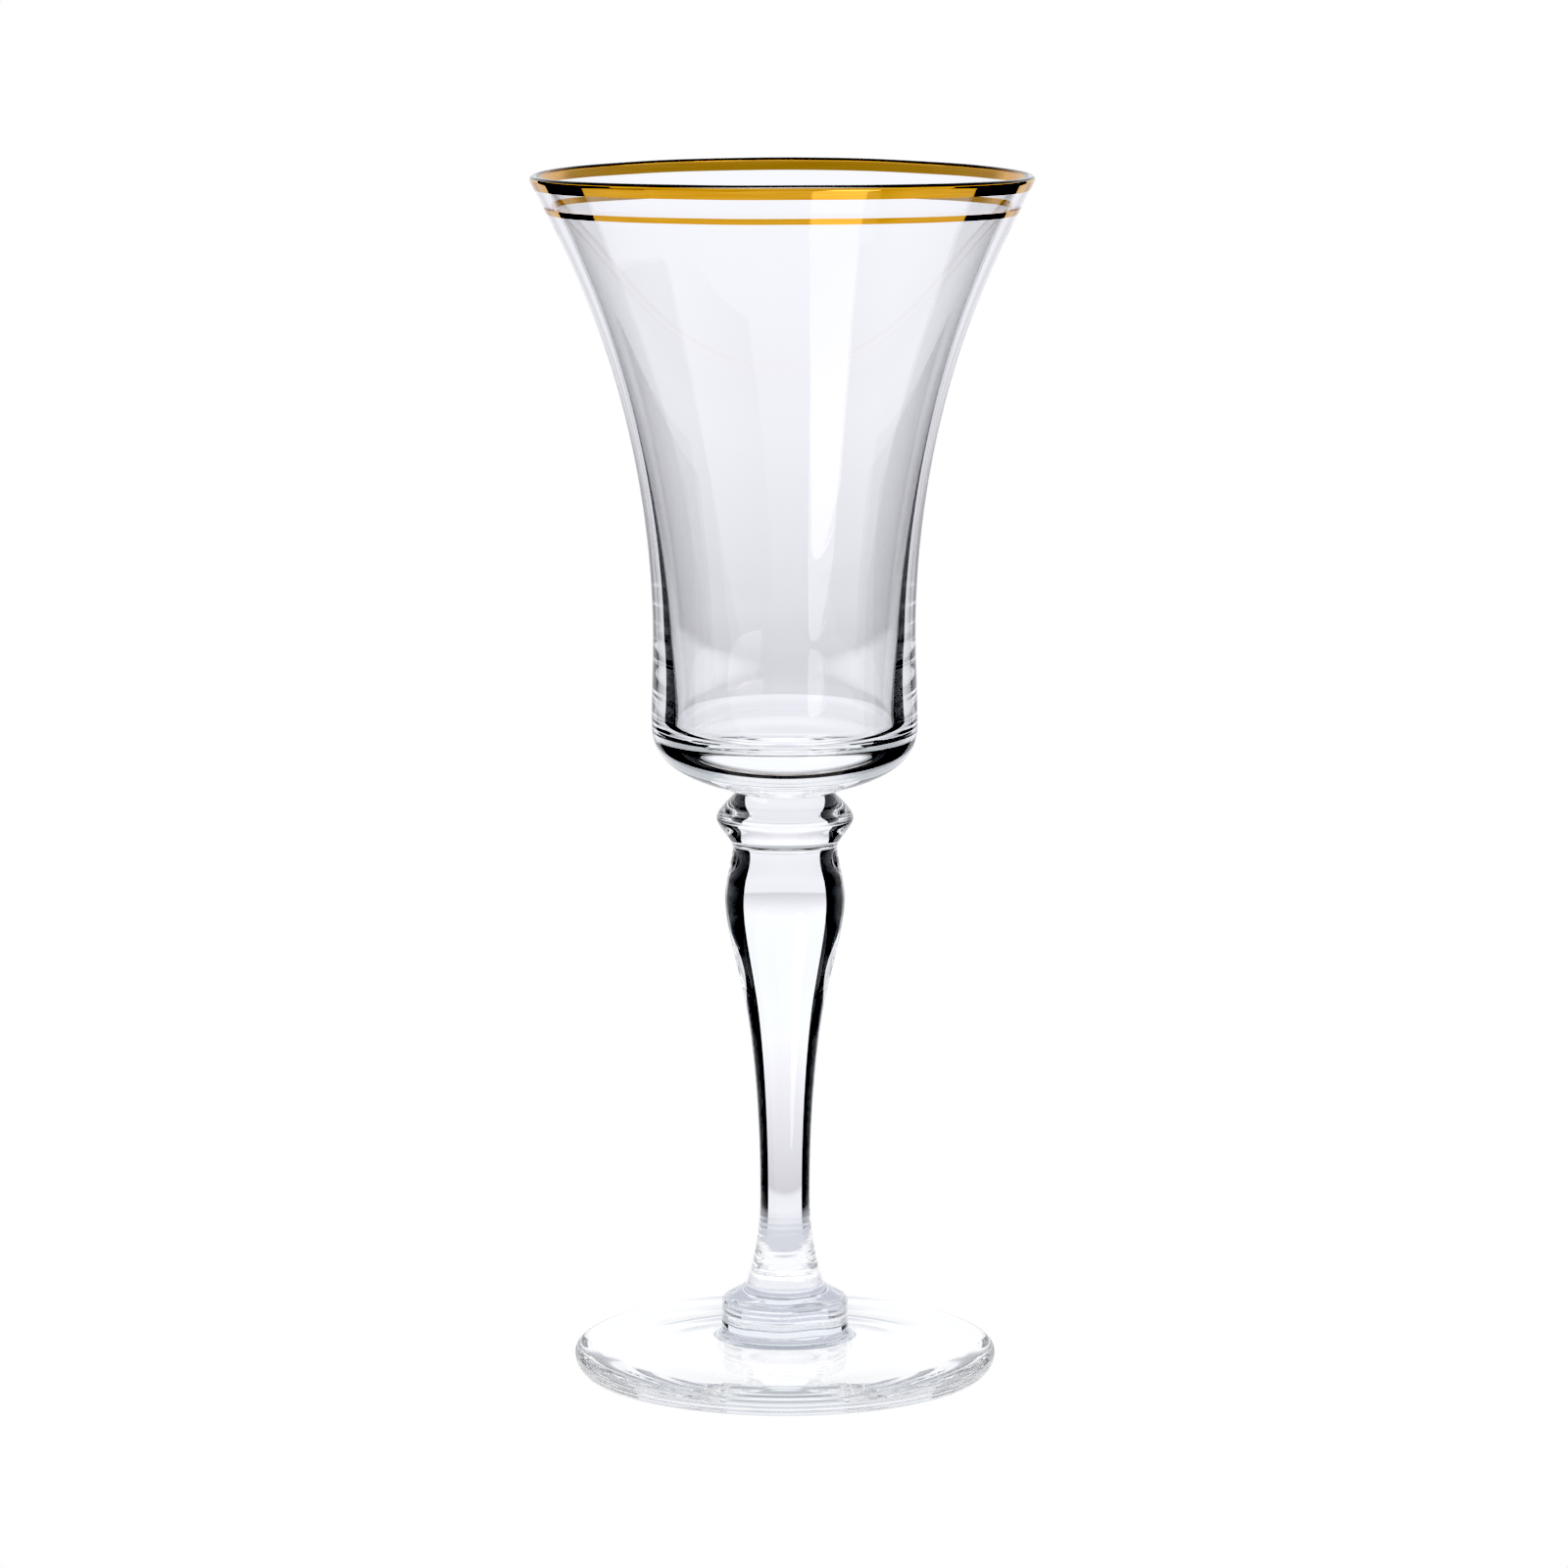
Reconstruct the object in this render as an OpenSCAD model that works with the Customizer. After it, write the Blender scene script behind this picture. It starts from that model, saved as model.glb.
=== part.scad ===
// Stemmed flute with a flared bowl, a knopped stem and two gold bands below the lip.
// Millimetres, +Z up. The origin is the centre of the foot's resting plane.
// Every glass piece is turned about the Z axis, and each stands on the one below it.

/* [Heights] */
// Thickness of the foot at its middle, where the collar stands
foot_h = 5.7; // [4.5:0.1:8]
// Height of the collar at the bottom of the stem
collar_h = 9; // [7:0.1:12]
// Length of the stem between the collar and the knop
stem_h = 73.3; // [55:0.5:110]
// Height of the knop under the bowl
knop_h = 9.1; // [7.5:0.1:13]
// Height of the bowl from the knop to the lip
bowl_h = 101.9; // [80:0.5:140]

/* [Bowl] */
// Outer diameter over the lip
rim_d = 82; // [66:0.5:100]
// Slope of the flare below the lip, from upright, in degrees
flare_angle = 26.3; // [15:0.1:35]
// Height of the straight stretch below the lip that carries the gilding
flare_straight_h = 8; // [7:0.5:14]
// Depth below the lip of the point where the flare has half turned upright
flare_mid_depth = 23.4; // [18:0.1:30]
// How much narrower the bowl's radius is at that point than at the lip
flare_mid_inset = 10.2; // [7:0.1:12]
// Slope of the flare at that point, from upright, in degrees
flare_mid_angle = 20.7; // [12:0.1:28]
// Outer diameter at the narrowest part of the bowl
waist_d = 43.1; // [34:0.1:52]
// Height of the narrowest part above the bottom of the bowl
waist_h = 26.3; // [20:0.1:34]
// Outer diameter of the swell above the bowl's round bottom
belly_d = 43.7; // [35:0.1:53]
// Height of the swell above the bottom of the bowl
belly_h = 11.2; // [9:0.1:15]
// Slope of the bowl's underside where it meets the knop, from level, in degrees
underside_angle = 21.5; // [12:0.5:35]

/* [Bowl walls] */
// Wall of the bowl at the lip
lip_wall = 1.3; // [1:0.05:2]
// Wall of the bowl half way down the flare
flare_wall = 1.35; // [1:0.05:2.2]
// Wall of the bowl at its narrowest part
waist_wall = 2.75; // [1.8:0.05:3.6]
// Slope of the bowl's inner face at the waist, from upright, in degrees
inner_taper = 3; // [1:0.5:9]
// Wall of the bowl at the swell, where the inner face starts to round into the bottom
belly_wall = 3.8; // [2.5:0.05:4.5]
// Height of that start above the bottom of the bowl
inner_round_h = 12.4; // [11:0.1:16]
// Thickness of the bowl's solid bottom at the axis
base_wall = 8.8; // [6.5:0.1:10]

/* [Knop] */
// Diameter of the neck where the knop meets the bowl
neck_d = 16; // [12:0.1:20]
// Largest diameter of the knop
knop_d = 22.5; // [21:0.1:28]
// Height of the knop's largest diameter above its bottom
knop_mid_h = 4.9; // [3.5:0.1:6]

/* [Stem] */
// Diameter of the joint between the stem and the knop
stem_top_d = 17.2; // [14:0.1:20]
// Diameter of the swell near the top of the stem
swell_d = 19.8; // [17.5:0.1:24]
// Depth of the swell below the top of the stem
swell_depth = 8.3; // [6:0.1:12]
// Diameter of the stem half way down its taper
taper_d = 12.9; // [10.5:0.1:16]
// Height of that point above the bottom of the stem
taper_h = 46.9; // [35:0.1:52]
// Slope of the taper at that point, from upright, in degrees
taper_angle = 10.8; // [6:0.1:16]
// Diameter of the thinnest part of the stem
thin_d = 8.2; // [6:0.1:10]
// Height of the thinnest part above the bottom of the stem
thin_h = 15.7; // [12:0.1:20]
// Diameter of the joint between the stem and the collar
stem_foot_d = 12.8; // [11:0.1:15]
// Slope of the stem's lower end, from upright, in degrees
stem_foot_angle = 19; // [10:0.5:30]

/* [Collar] */
// Diameter of the collar's upright side
collar_d = 20.9; // [19:0.1:26]
// Height of the round shoulder at the top of the collar
collar_shoulder_h = 3.5; // [2:0.1:4.5]
// Radius of the hollow that leads the collar onto the foot
collar_fillet = 1.6; // [0.8:0.1:2.5]

/* [Foot] */
// Largest diameter of the foot
foot_d = 70; // [58:0.5:84]
// Thickness of the foot where its upper face turns into the rim
foot_edge_h = 4.85; // [4:0.05:5.4]
// Height of the foot's largest diameter above the table
foot_edge_mid_h = 2.8; // [2:0.1:3.4]
// How far the round rim of the foot reaches in over its upper face
foot_edge_in = 2.8; // [1:0.1:4]
// How far the resting ring lies inside the largest diameter
foot_undercut = 1.9; // [0.8:0.1:3]
// Width of the flat ring that the glass rests on
rest_ring_w = 4.5; // [2:0.5:8]
// Depth of the hollow under the middle of the foot
foot_hollow_h = 1.2; // [0.4:0.1:2]

/* [Gilding] */
// Thickness of the gold
gold_t = 0.06; // [0.04:0.01:0.12]
// Height of the wide gold band, from its lower edge to the top of the lip
band_h = 2.3; // [1.6:0.1:4]
// How far the wide band reaches round the lip from its outer face, in degrees
band_turn = 45; // [15:15:180]
// Distance from the top of the lip to the thin gold line's upper edge
line_depth = 5.35; // [4.4:0.05:6]
// Height of the thin gold line
line_h = 0.95; // [0.5:0.05:1]

/* [Hidden] */
$fn = 96;
glass = [0.86, 0.9, 0.95, 0.45];
gold = [0.83, 0.61, 0.09];

// Heights of the joints above the table, from the foot up
collar_z = foot_h;
stem_z = collar_z + collar_h;
knop_z = stem_z + stem_h;
bowl_z = knop_z + knop_h;
lip_z = bowl_z + bowl_h;

// The round lip, an arc between the two faces of the wall, in facets of this many degrees
lip_facet = 15;
lip_r = lip_wall / 2;
lip_centre = [rim_d / 2 - lip_r, lip_z - lip_r];
// Points on the straight stretch below the lip, on the outer and the inner face
flare_end_z = lip_z - flare_straight_h;
// Where the flare has half turned upright
flare_mid = [rim_d / 2 - flare_mid_inset, lip_z - flare_mid_depth];
waist = [waist_d / 2, bowl_z + waist_h];
belly = [belly_d / 2, bowl_z + belly_h];
base_top = [0, bowl_z + base_wall];
// Where the inner face starts to round into the bottom, higher than the swell outside
inner_belly = [belly_d / 2 - belly_wall, bowl_z + inner_round_h];

// A step of the given length, at an angle from upright
function along(length, angle) = length * [sin(angle), cos(angle)];
// Steps straight up and straight out
function up(length) = [0, length];
function out(length) = [length, 0];
// A point on an arc about a centre, at an angle from level
function arc_point(centre, radius, angle) = centre + radius * [cos(angle), sin(angle)];
function arc(centre, radius, from, to, steps) =
    [for (i = [0 : steps]) arc_point(centre, radius, from + (to - from) * i / steps)];
// One point of a cubic curve, and the curve as points without its last one
function cubic(a, b, c, d, t) =
    pow(1 - t, 3) * a + 3 * pow(1 - t, 2) * t * b + 3 * (1 - t) * t * t * c + pow(t, 3) * d;
function curve(a, b, c, d, steps) = [for (i = [0 : steps - 1]) cubic(a, b, c, d, i / steps)];
// A curve whose handles start along one slope and end along another, both from upright
function sweep(a, angle_a, pull_a, d, angle_d, pull_d, steps) =
    curve(a, a + along(pull_a, angle_a), d - along(pull_d, angle_d), d, steps);

// The outer face of the straight flare at a height, moved out by the gold's thickness if asked
function flare_point(z, lift = 0) =
    let (edge = arc_point(lip_centre, lip_r, -flare_angle))
    [edge[0] - (edge[1] - z) * tan(flare_angle) + lift / cos(flare_angle), z];

// The bowl's outer face from the knop up to the flare's straight stretch
function bowl_outside() = let (
    neck = [neck_d / 2, bowl_z],
    flare_end = flare_point(flare_end_z)
) concat(
    sweep(neck, 90 - underside_angle, 5.3, belly, 0, 7.9, 14),
    sweep(belly, 0, 4.9, waist, 0, 5.1, 6),
    sweep(waist, 0, 19.8, flare_mid, flare_mid_angle, 14.2, 16),
    sweep(flare_mid, flare_mid_angle, 5, flare_end, flare_angle, 5, 6),
    [flare_end]
);

// The round lip, from the outer face over the top to the inner face
function lip() = arc(lip_centre, lip_r, -flare_angle, 180 - flare_angle, 180 / lip_facet);

// The bowl's inner face from the lip down to the middle of its solid bottom
function bowl_inside() = let (
    flare_end = flare_point(flare_end_z, -lip_wall),
    inner_mid = flare_mid - out(flare_wall / cos(flare_mid_angle)),
    inner_waist = waist - out(waist_wall)
) concat(
    sweep(flare_end, 180 + flare_angle, 5, inner_mid, 180 + flare_mid_angle, 5, 6),
    sweep(inner_mid, 180 + flare_mid_angle, 17.5, inner_waist, 180 + inner_taper, 15, 16),
    sweep(inner_waist, 180 + inner_taper, 3, inner_belly, 180, 3, 4),
    curve(inner_belly, inner_belly - up(4), base_top + out(12.7), base_top, 16),
    [base_top]
);

module turned(outline) {
    rotate_extrude() polygon(outline);
}

module bowl() {
    color(glass) turned(concat([[0, bowl_z]], bowl_outside(), lip(), bowl_inside()));
}

// The knop swells between two necks, one for each joint
module bowl_knop() {
    widest = [knop_d / 2, knop_z + knop_mid_h];
    neck = [neck_d / 2, bowl_z];
    joint = [stem_top_d / 2, knop_z];
    color(glass) turned(concat(
        [[0, knop_z]],
        sweep(joint, 0, 1.3, widest, 0, 1.55, 12),
        sweep(widest, 0, 1.2, neck, -45, 1.1, 12),
        [neck, [0, bowl_z]]
    ));
}

// The stem swells below the knop, tapers, and flares again above the collar
module stem() {
    joint = [stem_foot_d / 2, stem_z];
    thin = [thin_d / 2, stem_z + thin_h];
    taper = [taper_d / 2, stem_z + taper_h];
    swell = [swell_d / 2, knop_z - swell_depth];
    top = [stem_top_d / 2, knop_z];
    color(glass) turned(concat(
        [[0, stem_z]],
        sweep(joint, -stem_foot_angle, 4.7, thin, 0, 6.6, 14),
        sweep(thin, 0, 12.9, taper, taper_angle, 6.3, 16),
        sweep(taper, taper_angle, 6.2, swell, 0, 5.1, 12),
        sweep(swell, 0, 2.7, top, 0, 2.3, 10),
        [top, [0, knop_z]]
    ));
}

// The collar is a drum with a round shoulder, led onto the foot by a hollow
module foot_collar() {
    side_r = collar_d / 2;
    shoulder = [side_r, stem_z - collar_shoulder_h];
    joint = [stem_foot_d / 2, stem_z];
    fillet_centre = [side_r + collar_fillet, collar_z + collar_fillet];
    color(glass) turned(concat(
        [[0, collar_z]],
        arc(fillet_centre, collar_fillet, 270, 180, 8),
        curve(shoulder, shoulder + up(1.7), joint + [0.9, -1.7], joint, 12),
        [joint, [0, stem_z]]
    ));
}

// The foot is a disc with a round rim, and it stands on a flat ring
module foot() {
    rim = [foot_d / 2, foot_edge_mid_h];
    face_end = [foot_d / 2 - foot_edge_in, foot_edge_h];
    face_start = [collar_d / 2 + collar_fillet, foot_h];
    ring_outer = [foot_d / 2 - foot_undercut, 0];
    ring_inner = ring_outer - out(rest_ring_w);
    hollow_top = [0, foot_hollow_h];
    color(glass) turned(concat(
        curve(hollow_top, hollow_top + out(12), ring_inner + [-6, 0.35], ring_inner, 10),
        [ring_inner],
        curve(ring_outer, ring_outer + out(0.9), rim - up(1.3), rim, 8),
        curve(rim, rim + up(1.1), face_end + [1.6, -0.25], face_end, 10),
        curve(face_end, face_end + [-5, 0.5], face_start + [7, -0.3], face_start, 10),
        [face_start, [0, foot_h]]
    ));
}

// A skin of gold on the outer face, from the wide band's lower edge onto the round of the lip
module rim_gilding() {
    low_z = lip_z - band_h;
    end_angle = band_turn - flare_angle;
    facets = band_turn / lip_facet;
    over = arc(lip_centre, lip_r, -flare_angle, end_angle, facets);
    back = arc(lip_centre, lip_r + gold_t, end_angle, -flare_angle, facets);
    color(gold) turned(concat([flare_point(low_z)], over, back, [flare_point(low_z, gold_t)]));
}

// A thin line of gold round the outside, below the wide band
module gold_line() {
    top_z = lip_z - line_depth;
    low_z = top_z - line_h;
    color(gold) turned([
        flare_point(low_z),
        flare_point(low_z, gold_t),
        flare_point(top_z, gold_t),
        flare_point(top_z)
    ]);
}

foot();
foot_collar();
stem();
bowl_knop();
bowl();
rim_gilding();
gold_line();
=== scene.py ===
"""Looks of the gilded flute: five clear glass pieces and two bands of fired gold.

Every piece is turned about the Z axis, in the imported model's own frame. Sizes are in millimetres
until an outline is turned, and in metres from there on. Each glass piece is a closed skin, and
the faces where two pieces are fused together are clear, so the light runs on from one piece into
the next as it does in one solid glass.
"""

import logging
import math
from dataclasses import dataclass, field
from enum import Enum
from typing import Any, Callable, Sequence

import bpy
import numpy as np
from numpy.typing import NDArray
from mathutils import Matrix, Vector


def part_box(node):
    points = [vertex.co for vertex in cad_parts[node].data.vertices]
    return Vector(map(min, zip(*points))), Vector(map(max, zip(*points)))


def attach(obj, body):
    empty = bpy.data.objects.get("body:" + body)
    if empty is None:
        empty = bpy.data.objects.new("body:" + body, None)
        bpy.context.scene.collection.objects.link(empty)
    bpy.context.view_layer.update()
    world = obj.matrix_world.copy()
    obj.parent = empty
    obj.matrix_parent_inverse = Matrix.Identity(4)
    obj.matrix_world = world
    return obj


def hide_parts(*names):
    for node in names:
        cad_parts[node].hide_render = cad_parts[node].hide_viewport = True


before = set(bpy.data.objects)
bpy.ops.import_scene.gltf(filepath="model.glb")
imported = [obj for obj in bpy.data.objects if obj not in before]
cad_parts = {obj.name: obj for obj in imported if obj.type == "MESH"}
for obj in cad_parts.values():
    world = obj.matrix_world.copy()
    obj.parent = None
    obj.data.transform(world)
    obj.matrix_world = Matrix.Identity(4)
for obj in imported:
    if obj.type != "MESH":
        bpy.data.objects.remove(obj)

LOG = logging.getLogger("flute")
MM = 0.001
AROUND = 256
ON_AXIS = 1e-9
SHARP_ANGLE = 35
WHITE = "#FFFFFF"
BLACK = "#000000"

Points = NDArray[np.float64]
Index = NDArray[np.int64]
Pair = tuple[float, float]
Socket = bpy.types.NodeSocket
Warp = Callable[[Points, Points, Points], tuple[Points, Points, Points]]


class Node(Enum):
    """The CAD nodes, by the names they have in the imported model."""

    FOOT = "foot"
    COLLAR = "foot_collar"
    STEM = "stem"
    KNOP = "bowl_knop"
    BOWL = "bowl"
    BAND = "rim_gilding"
    LINE = "gold_line"


class Slot(Enum):
    """The record's material slots."""

    GLASS = "clear_glass"
    GOLD = "gilding"


class Face(Enum):
    """What a stretch of an outline is, as the index of its material on the piece."""

    SURFACE = 0
    FUSED = 1


# ---------------------------------------------------------------- outlines


def level(node: Node, top: bool) -> float:
    """The height in millimetres of a CAD node's lowest or highest point.

    Args:
        node: The node to measure.
        top: True for its highest point.

    Returns:
        The height above the table, in millimetres.
    """
    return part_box(node.value)[1 if top else 0].z / MM


def along(length: float, angle: float) -> Points:
    """A step of the given length, at an angle from upright: (length sin a, length cos a).

    Args:
        length: Length in millimetres.
        angle: Angle from upright in degrees, positive outwards.

    Returns:
        The step as (radius, height).
    """
    return length * np.array([math.sin(math.radians(angle)), math.cos(math.radians(angle))])


def curve(
    a: Sequence[float], b: Sequence[float], c: Sequence[float], d: Sequence[float], steps: int
) -> Points:
    """A cubic curve: (1-t)^3 a + 3(1-t)^2 t b + 3(1-t) t^2 c + t^3 d, for t from 0 to 1.

    Args:
        a: First point, as (radius, height) in millimetres.
        b: First handle.
        c: Second handle.
        d: Last point.
        steps: How many stretches the curve is cut into.

    Returns:
        The points of the curve, both ends included.
    """
    t = np.linspace(0.0, 1.0, steps + 1)[:, None]
    ends = (1 - t) ** 3 * np.asarray(a, float) + t**3 * np.asarray(d, float)
    first = 3 * (1 - t) ** 2 * t * np.asarray(b, float)
    return ends + first + 3 * (1 - t) * t**2 * np.asarray(c, float)


def bend(a: Points, d: Points, handles: tuple[Pair, Pair], steps: int) -> Points:
    """A cubic curve whose handles lie a given step away from its two ends: a + p and d + q.

    Args:
        a: First point, as (radius, height) in millimetres.
        d: Last point.
        handles: The steps p and q.
        steps: How many stretches the curve is cut into.

    Returns:
        The points of the curve, both ends included.
    """
    return curve(a, a + handles[0], d + handles[1], d, steps)


def sweep(
    a: Sequence[float], angle_a: float, d: Sequence[float], angle_d: float, pulls: Pair, steps: int
) -> Points:
    """A cubic curve that starts along one slope and ends along another.

    Its handles are a + p (sin A, cos A) and d - q (sin D, cos D), for pulls p and q.

    Args:
        a: First point, as (radius, height) in millimetres.
        angle_a: Slope at the first point, in degrees from upright.
        d: Last point.
        angle_d: Slope at the last point.
        pulls: Lengths of the first and the last handle.
        steps: How many stretches the curve is cut into.

    Returns:
        The points of the curve, both ends included.
    """
    first, last = np.asarray(a, float), np.asarray(d, float)
    return curve(first, first + along(pulls[0], angle_a), last - along(pulls[1], angle_d), last, steps)


def arc(centre: Sequence[float], radius: float, start: float, end: float, steps: int) -> Points:
    """An arc: centre + radius (cos a, sin a), for a from start to end in degrees from level.

    Args:
        centre: Centre as (radius, height) in millimetres.
        radius: Radius of the arc.
        start: First angle.
        end: Last angle.
        steps: How many stretches the arc is cut into.

    Returns:
        The points of the arc, both ends included.
    """
    angle = np.radians(np.linspace(start, end, steps + 1))
    return np.asarray(centre, float) + radius * np.column_stack([np.cos(angle), np.sin(angle)])


def line(a: Sequence[float], b: Sequence[float], steps: int) -> Points:
    """Evenly spaced points from a to b: a + t (b - a), both ends included."""
    return np.linspace(np.asarray(a, float), np.asarray(b, float), steps + 1)


@dataclass
class Outline:
    """A half section, as stretches of (radius, height) points, each with what its faces are."""

    points: list[Points] = field(default_factory=list)
    faces: list[Face] = field(default_factory=list)

    def add(self, points: Points, face: Face = Face.SURFACE) -> "Outline":
        """Adds a stretch whose first point is the last point so far.

        Args:
            points: The stretch's points.
            face: What its faces are.

        Returns:
            This outline, so that calls can follow one another.
        """
        self.points.append(points if not self.points else points[1:])
        self.faces.extend([face] * (len(points) - 1))
        return self

    def section(self) -> Points:
        """All points in order, in metres."""
        return np.vstack(self.points) * MM


# ---------------------------------------------------------------- turned skins


@dataclass(frozen=True)
class HandFinish:
    """How a glass that was finished by hand departs from a perfect turning."""

    lip_z: float
    bowl_z: float
    saddle: float = 0.31 * MM
    saddle_from: float = 60 * MM
    lip_waver: float = 0.035 * MM
    lean: float = 0.45 * MM

    def __call__(self, r: Points, z: Points, turn: Points) -> tuple[Points, Points, Points]:
        """Bends a turned skin: x = r cos a - lean w, y = r sin a, z lifted by the rim's saddle.

        The lift is -saddle (1 + cos 2a) s and a waver of three short waves, where a is measured
        from +X, s grows with the square of the height over the last stretch below the lip, and w
        grows from the bowl's bottom to its lip.

        Args:
            r: Radius of each point.
            z: Height of each point.
            turn: Angle of each point about the axis.

        Returns:
            The three coordinates.
        """
        share = np.clip((z - self.lip_z + self.saddle_from) / self.saddle_from, 0, 1) ** 2
        wave = np.sin(5 * turn + 0.8) + 0.7 * np.sin(9 * turn + 2.1) + 0.5 * np.sin(14 * turn + 4.0)
        drop = self.saddle * (1 + np.cos(2 * turn)) + self.lip_waver * (2.2 - wave) / 2
        aside = self.lean * np.clip((z - self.bowl_z) / (self.lip_z - self.bowl_z), 0, 1)
        return r * np.cos(turn) - aside, r * np.sin(turn), z - drop * share


@dataclass(frozen=True)
class ToolMarks:
    """Low ridges left round the glass where it was turned hot against the jacks."""

    low_z: float
    high_z: float
    depth: float
    spacing: float
    axis_fade: float = 4 * MM

    def __call__(self, r: Points, z: Points, turn: Points) -> tuple[Points, Points, Points]:
        """Moves the skin in and out by ridges that run round it and fade at both ends.

        The offset is depth e (sin p + 0.6 sin (1.7p + 1) + 0.4 sin (2.9p + 2)) / 2. The phase p
        counts the height in spacings, shifted a little as the ridge wanders round, and e is a
        smooth hump over the height that also fades out close to the axis.

        Args:
            r: Radius of each point.
            z: Height of each point.
            turn: Angle of each point about the axis.

        Returns:
            The three coordinates.
        """
        share = np.clip((z - self.low_z) / (self.high_z - self.low_z), 0, 1)
        hump = np.sin(np.pi * share) ** 0.7
        wander = 0.5 * np.sin(turn + 0.6) + 0.35 * np.sin(3 * turn + 1.9) + 0.2 * np.sin(7 * turn)
        phase = 2 * np.pi * z / self.spacing + 2.2 * wander
        ridge = np.sin(phase) + 0.6 * np.sin(1.7 * phase + 1) + 0.4 * np.sin(2.9 * phase + 2)
        out = r + self.depth * hump * ridge / 2 * np.clip(r / self.axis_fade, 0, 1)
        return out * np.cos(turn), out * np.sin(turn), z


def plain(r: Points, z: Points, turn: Points) -> tuple[Points, Points, Points]:
    """A perfect turning: x = r cos a, y = r sin a.

    Args:
        r: Radius of each point.
        z: Height of each point.
        turn: Angle of each point about the axis.

    Returns:
        The three coordinates.
    """
    return r * np.cos(turn), r * np.sin(turn), z


def corner_rows(section: Points, closed: bool) -> tuple[Points, Index, Index, Index]:
    """The skin's grid: rings of points, four corners for each face, three at a pole.

    The outline is travelled with the skin's outer side on its right, so the corners run one step
    round, then one step along, which turns each face outwards.

    Args:
        section: Points of the outline, as (radius, height) in metres.
        closed: True if the last point joins the first, as on a ring.

    Returns:
        Ring points, all corners, where each face's corners start, and each face's stretch.
    """
    first_pole, last_pole = section[0, 0] < ON_AXIS, section[-1, 0] < ON_AXIS
    rings = section[int(first_pole) : len(section) - int(last_pole)]
    count = len(rings)
    step = np.arange(AROUND)
    after = (step + 1) % AROUND
    lower = np.arange(count if closed else count - 1)
    upper = (lower + 1) % count
    quads = np.stack(
        [
            lower[:, None] * AROUND + step,
            lower[:, None] * AROUND + after,
            upper[:, None] * AROUND + after,
            upper[:, None] * AROUND + step,
        ],
        axis=-1,
    ).reshape(-1, 4)
    stretch = np.repeat(lower + int(first_pole), AROUND)
    corners, sizes, rows = [quads.ravel()], [np.full(len(quads), 4)], [stretch]
    pole = count * AROUND
    if first_pole:
        corners.append(np.column_stack([np.full(AROUND, pole), after, step]).ravel())
        sizes.append(np.full(AROUND, 3))
        rows.append(np.zeros(AROUND, int))
        pole += 1
    if last_pole:
        last = (count - 1) * AROUND
        corners.append(np.column_stack([last + step, last + after, np.full(AROUND, pole)]).ravel())
        sizes.append(np.full(AROUND, 3))
        rows.append(np.full(AROUND, len(section) - 2))
    size = np.concatenate(sizes)
    return rings, np.concatenate(corners), np.cumsum(size) - size, np.concatenate(rows)


def turned(
    name: str,
    outline: Outline,
    materials: Sequence[bpy.types.Material],
    warp: Warp = plain,
    closed: bool = False,
) -> bpy.types.Object:
    """Turns an outline about the Z axis into a closed skin: (r cos a, r sin a, z), then warped.

    Args:
        name: Name of the new piece.
        outline: The half section.
        materials: One material for each kind of face.
        warp: How the piece departs from a perfect turning.
        closed: True if the outline is a closed loop clear of the axis.

    Returns:
        The new piece, its place in its mesh.
    """
    section = outline.section()
    rings, corners, starts, rows = corner_rows(section, closed)
    turn = np.linspace(0, 2 * np.pi, AROUND, endpoint=False)[None, :]
    x, y, z = warp(rings[:, :1], np.broadcast_to(rings[:, 1:], (len(rings), AROUND)), turn)
    grid = np.stack(np.broadcast_arrays(x, y, z), axis=-1).reshape(-1, 3)
    axis_z = [p[1] for p in (section[0], section[-1]) if p[0] < ON_AXIS]
    poles = np.array([[0.0, 0.0, height] for height in axis_z]).reshape(-1, 3)
    points = np.vstack([grid, poles])
    mesh = bpy.data.meshes.new(name)
    mesh.vertices.add(len(points))
    mesh.vertices.foreach_set("co", points.astype(np.float32).ravel())
    mesh.loops.add(len(corners))
    mesh.loops.foreach_set("vertex_index", corners.astype(np.int32))
    mesh.polygons.add(len(starts))
    mesh.polygons.foreach_set("loop_start", starts.astype(np.int32))
    kinds = np.array([face.value for face in outline.faces] + [0])
    mesh.polygons.foreach_set("material_index", kinds[rows].astype(np.int32))
    mesh.polygons.foreach_set("use_smooth", np.ones(len(starts), bool))
    mesh.update(calc_edges=True)
    mesh.validate()
    mesh.set_sharp_from_angle(angle=math.radians(SHARP_ANGLE))
    for material in materials:
        mesh.materials.append(material)
    piece = bpy.data.objects.new(name, mesh)
    bpy.context.scene.collection.objects.link(piece)
    return piece


def seat(piece: bpy.types.Object, node: Node) -> None:
    """Puts a piece in place of a CAD node, on the one body this glass has.

    Args:
        piece: The new piece.
        node: The CAD node it stands for.
    """
    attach(piece, "root")
    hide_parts(node.value)
    LOG.info("%s stands for %s: %d faces", piece.name, node.value, len(piece.data.polygons))


# ---------------------------------------------------------------- materials


def linear(colour: str) -> tuple[float, float, float, float]:
    """Turns an sRGB hex colour to linear values.

    Args:
        colour: The colour as #RRGGBB.

    Returns:
        Linear red, green, blue and an alpha of 1.
    """
    parts = [int(colour[i : i + 2], 16) / 255 for i in (1, 3, 5)]
    red, green, blue = (c / 12.92 if c <= 0.04045 else ((c + 0.055) / 1.055) ** 2.4 for c in parts)
    return red, green, blue, 1.0


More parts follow.
